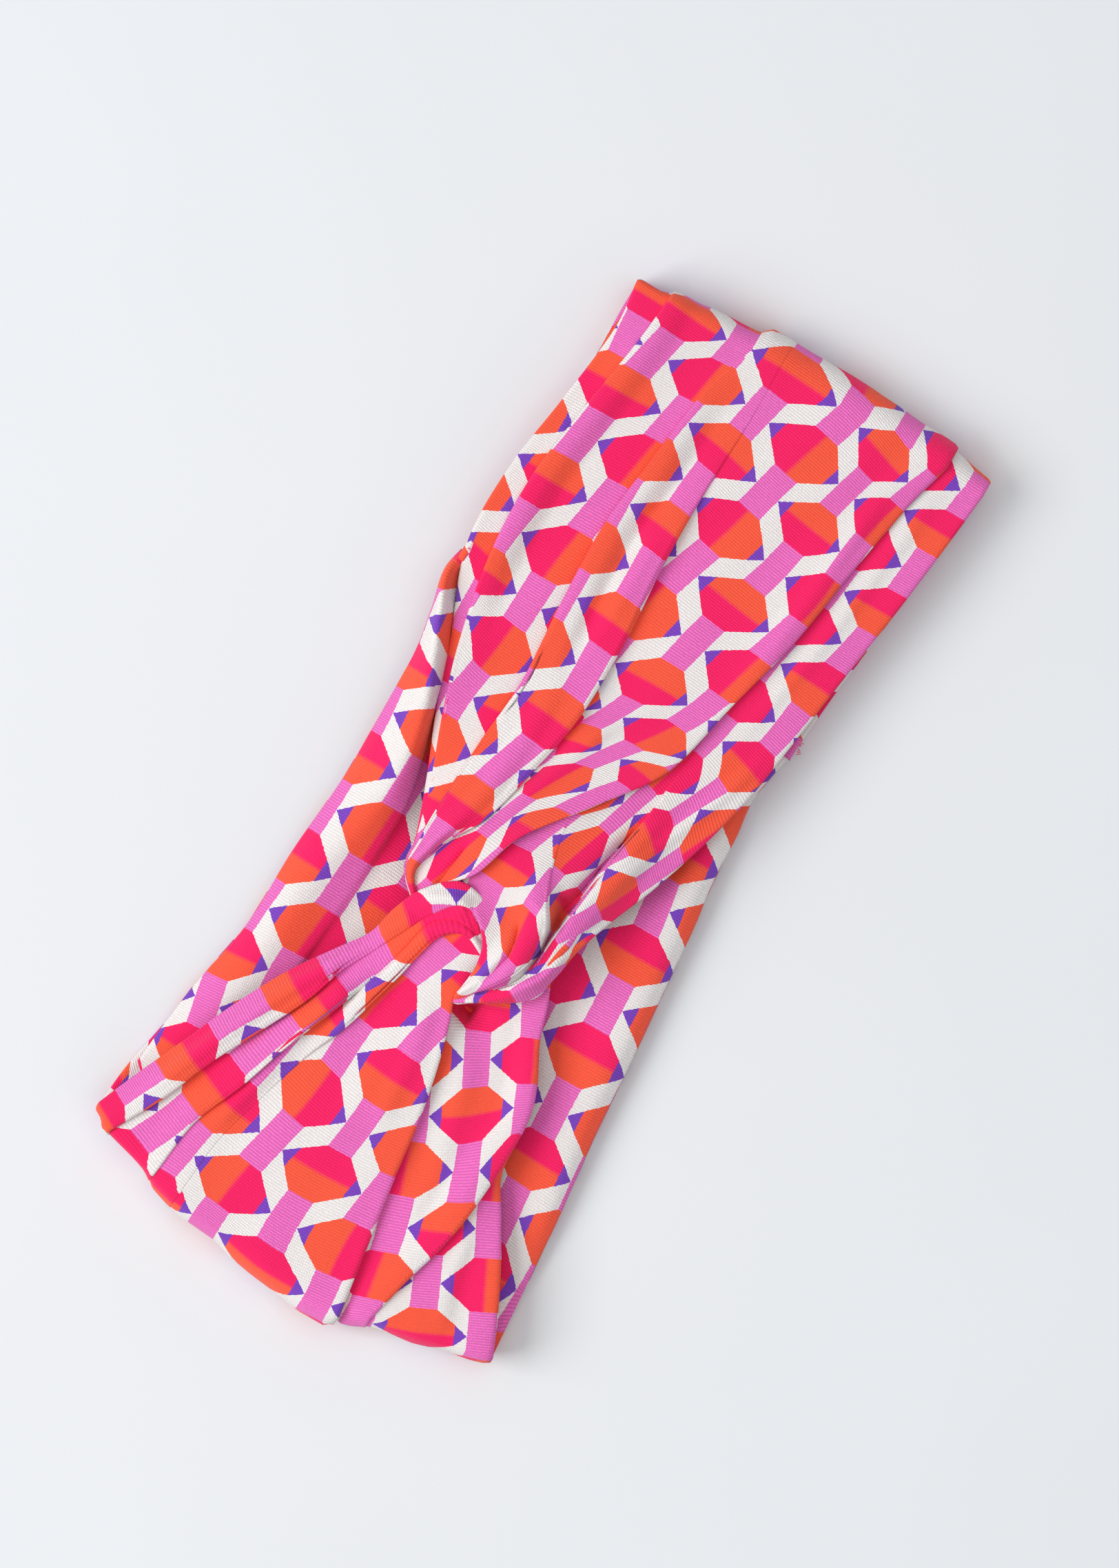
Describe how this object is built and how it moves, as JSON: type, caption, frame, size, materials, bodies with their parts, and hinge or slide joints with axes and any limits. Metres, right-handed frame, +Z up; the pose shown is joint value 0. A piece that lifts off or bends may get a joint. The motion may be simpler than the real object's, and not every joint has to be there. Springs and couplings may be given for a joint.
{
  "type": "knotted headband",
  "caption": "Wide knotted headband of soft printed jersey, lying flat, with interlocked straps at the front and one seam at the centre back.",
  "frame": {"origin": "centre of the bounding box at its bottom, where the band rests", "axes": "+X across the band, +Y along the band towards its narrower end fold, +Z up, out of the front with the knot"},
  "size_m": [0.109, 0.25, 0.0267],
  "materials": {
    "upper_jersey": "matte printed cotton jersey",
    "lower_jersey": "matte printed cotton jersey",
    "seam_jersey": "overlocked jersey edge",
    "thread": "off-white polyester thread"
  },
  "bodies": {
    "root": {"upper_strap": "upper_jersey", "lower_strap": "lower_jersey", "back_seam": "seam_jersey", "upper_closing_seam": "thread", "lower_closing_seam": "thread"}
  },
  "joints": []
}
